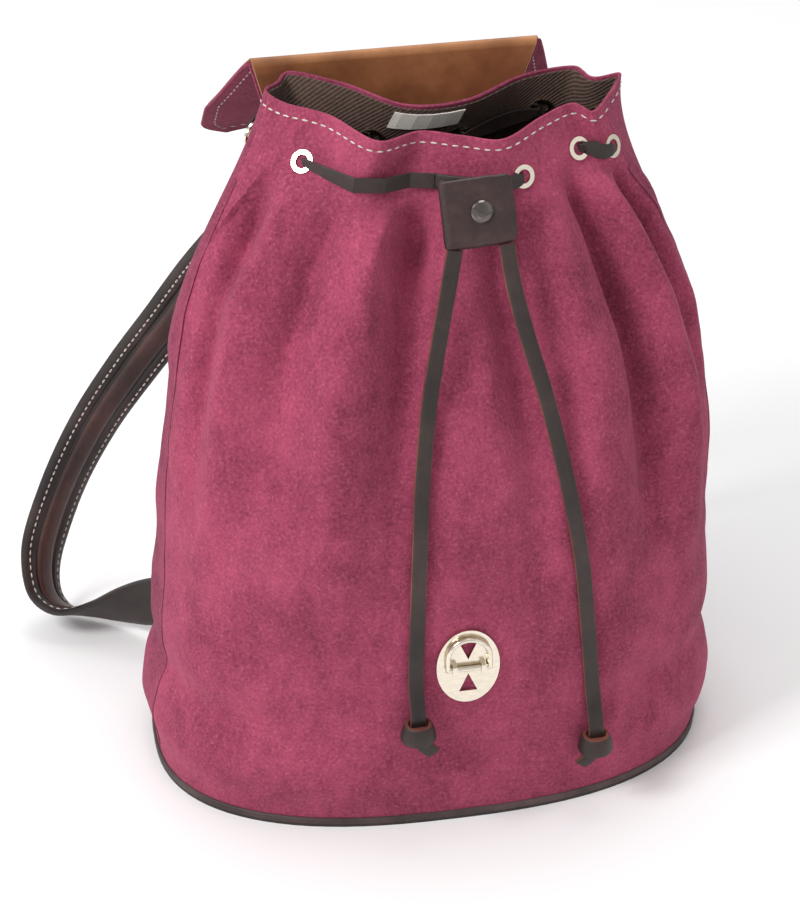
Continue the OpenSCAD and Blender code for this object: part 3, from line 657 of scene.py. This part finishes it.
t, v = np.meshgrid(np.linspace(0, 360, 361)[:-1],
                   np.concatenate([np.linspace(0.02, 0.8, 60),
                                   np.linspace(0.81, 0.996, 30)]),
                   indexing="ij")
slack = drape(t, v)
CLOTH_THICK, CLOTH_GAP = 0.8, 0.35
cloth_out = -SUEDE_THICK - CLOTH_GAP
verts, faces = shell(on_wall(t, v, cloth_out, slack),
                     on_wall(t, v, cloth_out - CLOTH_THICK, slack),
                     closed=True)
lining = link_piece("lining_twill", verts, faces, [twill], "bag")
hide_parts("lining")

paper_white, tree, shader, place = new_finish("blank_woven_label")
weave = speck(tree, place, 1400, 1, 0.5, (1, 1, 4))
tree.links.new(tones(tree, weave, ((0.3, "#cfc8bd"), (0.6, "#efebe3"))),
               shader.inputs["Base Color"])
shader.inputs["Roughness"].default_value = 0.85
set_bump(tree, shader, (weave, 0.3, 0.0002))


def repaint(node, material):
    """Gives a piece that keeps its CAD shape its real finish."""
    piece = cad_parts[node]
    piece.data.materials.clear()
    piece.data.materials.append(material)


repaint("inner_pocket", twill)
repaint("blank_label", paper_white)

# ---- Base -------------------------------------------------------------------
# A stiff sole of brown leather on a fibre board; a folded leather binding,
# glued and sewn, covers the edge where the walls meet it.
fibre_board, tree, shader, place = new_finish("pressed_fibre_board")
grit = speck(tree, place, 350, 4, 0.7)
tree.links.new(tones(tree, grit, ((0.3, "#6e5138"), (0.7, "#a38061"))),
               shader.inputs["Base Color"])
shader.inputs["Roughness"].default_value = 0.9
grey_leather = leather("grey_brown_binding", "#5d4a49", "#443433", "#2e2120",
                       0.55)
repaint("base_board", fibre_board)
repaint("base_panel", brown_leather)
BINDING = [(-0.2, 0.3), (0.7, 0.4), (1.35, 1.0), (1.6, 2.2), (1.5, 3.6),
           (1.0, 4.6), (0.3, 5.0), (-0.3, 4.8)]
angles = np.linspace(0, 360, 361)[:-1]
rings = np.array([(wall(angles, z / RIM_HIGH) + wall_out(angles, np.full(
    angles.shape, 0.01)) * away) * (1, 1, 0) + (0, 0, z)
    for away, z in BINDING]) / 1000
n, k = len(angles), len(BINDING)
verts = rings.transpose(1, 0, 2).reshape(-1, 3)
faces = [(i * k + j, (i + 1) % n * k + j, (i + 1) % n * k + (j + 1) % k,
          i * k + (j + 1) % k) for i in range(n) for j in range(k)]
binding = link_piece("base_binding_leather", verts, faces, [grey_leather],
                     "bag")
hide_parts("base_binding")

# ---- Metal fittings ---------------------------------------------------------
# Eyelets, rivets and the lock are nickel-plated brass: bright and smooth, with
# fine rubbing marks.  The slider's cap is plated darker.


def plated(name, colour, rough):
    """Nickel plate over brass, with faint upright rubbing marks."""
    made, tree, shader, place = new_finish(name)
    rub = speck(tree, place, 260, 4, 0.7, (1, 1, 3))
    tree.links.new(tones(tree, rub, ((0.2, colour), (0.8, "#f3ead8")))
                   if name == "polished_nickel" else
                   tones(tree, rub, ((0.2, colour), (0.9, "#8a817c"))),
                   shader.inputs["Base Color"])
    shader.inputs["Metallic"].default_value = 1
    wear = add(tree, "ShaderNodeMapRange", {}, {
        "Value": rub, "To Min": rough - 0.05, "To Max": rough + 0.1})
    tree.links.new(wear.outputs[0], shader.inputs["Roughness"])
    set_bump(tree, shader, (rub, 0.05, 0.0003))
    return made


nickel = plated("polished_nickel", "#d9cfc0", 0.14)
dark_nickel = plated("dark_nickel", "#4a4442", 0.16)
for node in ("eyelets", "eyelet_washers", "yoke_rivets", "lock_plate",
             "lock_back_plate", "lock_loop", "tongue_plate",
             "strap_tab_rivets"):
    repaint(node, nickel)
repaint("slider_rivet_cap", dark_nickel)
repaint("slider_rivet_post", dark_nickel)
repaint("lace_loop", brown_leather)

# ---- Slider -----------------------------------------------------------------
# One strip of brown leather folded round both laces and riveted: two squares
# with rounded, slightly curled corners, joined by the fold on the left.
slider_lean, slider_turn = math.radians(70), math.radians(3)
slider_place = (Matrix.Translation((0.015, -0.051, 0.321))
                @ Matrix.Rotation(slider_lean, 4, "X")
                @ Matrix.Rotation(slider_turn, 4, "Z"))
TAB, CHANNEL, TAB_THICK = 0.030, 0.003, 0.0018
half = CHANNEL / 2 + TAB_THICK / 2
quarter_bend = math.pi * half / 2


def tab_point(x, y, face):
    """Folds the flat strip: x runs round the fold on the left."""
    if x > quarter_bend:
        curl = 0.0011 * ease(x - quarter_bend, TAB * 0.75, TAB) \
            + 0.0007 * ease(abs(y), TAB * 0.3, TAB * 0.5)
        spot = Vector((x - quarter_bend - TAB / 2, y, half - curl * 0.4))
        normal = Vector((0, 0, 1))
    elif x < -quarter_bend:
        # The rear layer was cut a little larger and sits lower
        spot = Vector((-x - quarter_bend - TAB / 2, y * 1.02 - 0.0012, -half))
        normal = Vector((0, 0, -1))
    else:
        angle = x / half
        spot = Vector((-TAB / 2 - half * math.cos(angle), y,
                       half * math.sin(angle)))
        normal = Vector((-math.cos(angle), 0, math.sin(angle)))
    wobble = 0.00025 * noise.noise(Vector((x, y, face)) * 260)
    return slider_place @ (spot + normal * (face * TAB_THICK / 2 + wobble))


reach = quarter_bend + TAB
xs = np.linspace(-reach, reach, 90)
ys = np.linspace(-0.5, 0.5, 33)
grid_in, grid_out = [], []
for x in xs:
    near = reach - abs(x)
    round_off = 0.0024 * (1 - min(near / 0.0024, 1)) ** 2
    width = TAB - 2 * round_off + 0.0007 * noise.noise(Vector((x * 120, 1, 2)))
    grid_out.append([tab_point(x, y * width, 1) for y in ys])
    grid_in.append([tab_point(x, y * width, -1) for y in ys])
verts, faces = shell(np.array(grid_out), np.array(grid_in))
slider = link_piece("slider_folded_leather", verts, faces,
                    [leather("slider_cowhide", "#4a3431", "#33211f",
                             "#1f1211", 0.45, 700, 0.5)],
                    "slider")
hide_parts("slider_tab")
repaint("slider_spacer", tan_edge)

# A short run of the lace stays in the channel when the slider moves down
LACE_OUT = 0.0028
EYELET_DROP = 20
lace_level = np.array(1 - EYELET_DROP / RIM_HIGH)
inside = [wall(np.array(t), lace_level) / 1000
          + wall_out(np.array(t), lace_level) * LACE_OUT
          for t in (262.0, 284.0)]
path = [inside[0] * (1 - f) + inside[1] * f
        + np.array([0, -0.0016 * math.sin(math.pi * f), 0])
        for f in np.linspace(-0.02, 1.02, 30)]
verts, faces = sweep(path, [(0, 0, 1)] * len(path), lace_profile)
link_piece("lace_in_slider", verts, faces, [brown_leather], "bag")

# ---- Flap -------------------------------------------------------------------
# Fuchsia suede and tan vegetable-tanned leather, sewn together round the edge.
# The flap is sewn high on the back and here is thrown back over its fold.
tan_leather = leather("tan_vegetable_leather", "#b57c50", "#9c673f", "#7d4e2f",
                      0.45, 800, 0.25)
CREST = np.array([-5, 53, 354.0])
FLAP_DOWN = math.radians(42)
FLAP_LONG, ROOT_LONG = 104, 52


def flap_line(s):
    """Middle line of the flap, s from the fold: (y, z) and its normal."""
    if s >= 3:
        y, z = 53 + math.cos(FLAP_DOWN) * s, 354 - math.sin(FLAP_DOWN) * s
        return y, z, math.sin(FLAP_DOWN), math.cos(FLAP_DOWN)
    if s <= -3:
        f = min(max((s + 3 + ROOT_LONG) / ROOT_LONG, 0), 1)
        y = 58 + (53 - 58) * f * f + 8 * (1 - f) ** 2
        z = 298 + (351 - 298) * f
        return y, z, -1, 0
    f = (s + 3) / 6
    a = np.array([53, 351.0])
    b = np.array([53.2, 354.6])
    c = np.array([53 + math.cos(FLAP_DOWN) * 3,
                  354 - math.sin(FLAP_DOWN) * 3])
    p = a * (1 - f) ** 2 + 2 * b * f * (1 - f) + c * f * f
    turn = math.radians(90) * (1 - f) - FLAP_DOWN * f
    return p[0], p[1], -math.sin(turn), math.cos(turn)


def flap_half(s):
    """Half the flap's width, s millimetres from the fold."""
    if s < 0:
        return 70 - 14 * min(-s / ROOT_LONG, 1)
    return (70 + 16 * min(1, s / 60)
            - 14 * max(0, (s - FLAP_LONG + 22) / 22) ** 2.4)


def flap_sheet(steps, low, high, inset, droop):
    """Outer and inner faces of one leather of the flap, root included."""
    outer, inner = [], []
    for s in steps:
        y, z, ny, nz = flap_line(s)
        row_out, row_in = [], []
        for u in np.linspace(-1, 1, 81):
            x = u * (flap_half(s) - inset)
            sag = droop * abs(u) ** 3 * ease(s, 8, 70)
            ripple = 1.1 * noise.noise(Vector((x / 34, s / 34, 5))) \
                * ease(s, 5, 30)
            row_out.append((CREST[0] + x, y + ny * (high + ripple),
                            z + nz * (high + ripple) - sag))
            row_in.append((CREST[0] + x, y + ny * (low + ripple),
                           z + nz * (low + ripple) - sag))
        outer.append(row_out)
        inner.append(row_in)
    return np.array(outer) / 1000, np.array(inner) / 1000


flap_steps = np.concatenate([np.linspace(-ROOT_LONG, -3.2, 26),
                             np.linspace(-3, 3, 13),
                             np.linspace(4, FLAP_LONG, 50)])
# The flap's suede side takes the darker suede with its painted shade
for name, low, high, inset, finish, slot, nodes in (
        ("flap_suede_side", -1.55, -0.1, 0, fuchsia_painted_shade, "suede",
         ("flap_suede", "flap_root")),
        ("flap_tan_side", 0.1, 1.55, 1.5, tan_leather, "tan_leather",
         ("flap_lining", "flap_root_lining"))):
    outer, inner = flap_sheet(flap_steps, low, high, inset, 5)
    verts, faces = shell(outer, inner)
    sheet = link_piece(name, verts, faces, [finish], None)
    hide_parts(*nodes)
    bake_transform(sheet)
    # One row of stitches holds both leathers together, 4 mm from the edge
    edge = []
    tops = outer if high > 1 else inner
    for s_index in range(40, len(flap_steps) - 3):
        edge.append(tops[s_index, 3])
    edge += [tops[len(flap_steps) - 4, j] for j in range(4, 78)]
    edge += [tops[s_index, 77]
             for s_index in range(len(flap_steps) - 4, 39, -1)]
    spots, ahead, _ = spaced(edge, STITCH_PITCH)
    way = 1 if high > 1 else -1
    normal = np.array([0, math.sin(FLAP_DOWN), math.cos(FLAP_DOWN)]) * way
    sew(name + "_stitches", spots + normal * 0.0001, ahead,
        np.tile(normal, (len(spots), 1)), "flap")

# ---- Closing tongue ---------------------------------------------------------
# A strap of the same two leathers, sewn under the flap's end.  Its slotted
# nickel plate drops over the loop of the lock when the flap is closed.
tongue_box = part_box("tongue_suede")
tongue_mid = (tongue_box[0].x + tongue_box[1].x) / 2
tongue_half = (tongue_box[1].x - tongue_box[0].x) / 2
STITCH_INSET, ROUND_END = 0.004, 0.016
repaint("flap_edge", brown_leather)
# The tongue's suede takes the darker suede with its painted shade
repaint("tongue_suede", fuchsia_painted_shade)
repaint("tongue_lining", tan_leather)
for name, y, way in (("front", tongue_box[0].y, -1),
                     ("back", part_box("tongue_lining")[1].y, 1)):
    for side in (-1, 1):
        x = tongue_mid + side * (tongue_half - STITCH_INSET)
        line = [(x, y, z) for z in np.linspace(
            tongue_box[1].z - STITCH_INSET, tongue_box[0].z + ROUND_END, 60)]
        spots, ahead, _ = spaced(line, STITCH_PITCH)
        sew(f"tongue_{name}_stitches_{'right' if side > 0 else 'left'}",
            spots, ahead, np.tile((0, way, 0), (len(spots), 1)), "tongue")

# ---- Shoulder straps --------------------------------------------------------
# Each strap is dark brown leather on a leather backing, slightly domed, with a
# row of white stitches along both sides and a reddish band sewn down the middle.
red_leather = leather("reddish_brown_leather", "#4e2f28", "#3a211c", "#281511",
                      0.45)
band_leather = leather("strap_cowhide", "#3c302c", "#29201d", "#1a1311", 0.5)


def anchor(t, v, away):
    """A strap's fixed end, away millimetres off the plain wall."""
    point = wall(np.array([t]), np.array([v]))[0]
    return point + wall_out(np.array([t]), np.array([v]))[0] * away


STRAPS = {
    "strap_left": (1, [
        (anchor(129, 0.8, 7.4), (-0.9, 0, 0.4)),
        ((-79, 61, 261), (-0.8, -0.1, 0.5)),
        ((-95, 78, 230), (-0.7, -0.1, 0.6)),
        ((-112, 94, 196), (-0.5, -0.3, 1)),
        ((-132, 108, 160), (-0.6, -0.3, 1)),
        ((-153, 119, 121), (-0.7, -0.4, 1)),
        ((-171, 125, 81), (-0.8, -0.5, 0.9)),
        ((-184, 124, 44), (-0.8, -0.5, 0.8)),
        ((-186, 116, 21), (-0.8, -0.8, 0.6)),
        ((-177, 106, 12), (-0.5, -0.9, 0.6)),
        ((-158, 98, 15), (-0.2, -0.6, 0.8)),
        ((-140, 90, 22), (0, -0.2, 1)), ((-124, 82, 29), (0, 0, 1)),
        (anchor(134, 0.095, 7.6), (0, 0, 1))]),
    "strap_right": (-1, [
        (anchor(51, 0.8, 5.6), (0.9, 0, 0.3)),
        ((88, 60, 262), (0.9, -0.1, 0.3)), ((96, 78, 234), (1, -0.1, 0.3)),
        ((102, 96, 200), (1, -0.2, 0.3)), ((108, 112, 160), (1, -0.2, 0.3)),
        ((112, 124, 116), (1, -0.2, 0.2)), ((115, 132, 72), (1, -0.1, 0.1)),
        ((116, 135, 38), (1, 0, 0)), ((116, 130, 14), (1, 0, 0)),
        ((116, 116, 7), (1, 0, 0)), ((115, 105, 13), (0.9, 0, 0.4)),
        ((114, 96, 23), (0.6, 0, 0.8)), ((112, 86, 30), (0.2, 0, 1)),
        (anchor(46, 0.095, 7.6), (0, 0, 1))])}
STRAP_STEPS = 180
ROW_OUT, STRAP_PITCH = 10.6, 0.0042
# Half of the section, from the middle out: across and proud of the seam
STRAP_TOP = [(0, 1.9), (5.9, 2.0), (6.6, 1.5), (7.4, 2.3), (9.0, 2.4),
             (10.4, 2.0), (11.6, 2.15), (13.2, 1.7), (14.4, 0.9), (15, 0.1)]
STRAP_BACK = [(14.8, -0.7), (13.8, -1.4), (10.5, -1.6), (0, -1.6)]
half_section = STRAP_TOP + STRAP_BACK
section = half_section + [(-x, y) for x, y in reversed(half_section[1:-1])]
BAND_TOP = [(5.3, 0), (5.5, 0.5), (5.0, 1.1), (3.0, 1.5), (0, 1.6)]
band_section = BAND_TOP + [(-x, y) for x, y in reversed(BAND_TOP[:-1])]
for name, (face, route) in STRAPS.items():
    shares = np.linspace(0, 1, STRAP_STEPS + 1)
    centres = np.array([along([r[0] for r in route], f) for f in shares])
    sides = np.array([along([r[1] for r in route], f) for f in shares])
    near = np.minimum(shares, 1 - shares) * 56
    widths = np.minimum(1, 0.3 + 0.14 * near)
    verts, faces = sweep(centres, sides,
                         np.array(section) * (1, face), widths)
    strap = link_piece(name + "_leather", verts / 1000, faces,
                       [band_leather], name)
    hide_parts(name, name + "_backing")
    inner = slice(10, STRAP_STEPS - 9)
    verts, faces = sweep(centres[inner], sides[inner],
                         np.array(band_section) * (1, face)
                         + (0, 1.9 * face))
    band = link_piece(name + "_red_band", verts / 1000, faces,
                      [red_leather], name)
    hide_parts(name + "_band")
    ahead = np.gradient(centres, axis=0)
    ahead /= np.linalg.norm(ahead, axis=1)[:, None]
    across = sides - ahead * (sides * ahead).sum(1)[:, None]
    across /= np.linalg.norm(across, axis=1)[:, None]
    proud = np.cross(across, ahead) * face
    for label, offset in (("left", -ROW_OUT), ("right", ROW_OUT)):
        line = (centres + across * offset * widths[:, None]
                + proud * 2.1)[14:-14] / 1000
        spots, run, share = spaced(line, STRAP_PITCH)
        picks = np.clip((share * (len(line) - 1)).astype(int) + 14, 0,
                        len(centres) - 1)
        sew(f"{name}_stitches_{label}", spots, run, proud[picks], name,
            length=0.003, width=0.0011)

# ---- Yoke, hanging loop and strap tabs --------------------------------------
# A curved leather patch high on the back takes the strap ends and the hanging
# loop; small riveted tabs low on the back take the straps' lower ends.
for node in ("back_yoke", "hang_loop", "strap_tabs"):
    repaint(node, brown_leather)
# The yoke's stitches follow its edge, on top of the leather
YOKE_PROUD = 2.2
corners = [(80.5, 0.767), (127.5, 0.767), (127.5, 0.853), (80.5, 0.853),
           (80.5, 0.767)]
line = []
for (t0, v0), (t1, v1) in zip(corners, corners[1:]):
    f = np.linspace(0, 1, 60)
    t, v = t0 + (t1 - t0) * f, v0 + (v1 - v0) * f
    line.append((wall(t, v) + wall_out(t, v) * YOKE_PROUD) / 1000)
spots, ahead, share = spaced(np.vstack(line), STITCH_PITCH)
sew("yoke_stitches", spots, ahead,
    wall_out(np.full(len(spots), 104.0), np.full(len(spots), 0.81)), "bag")
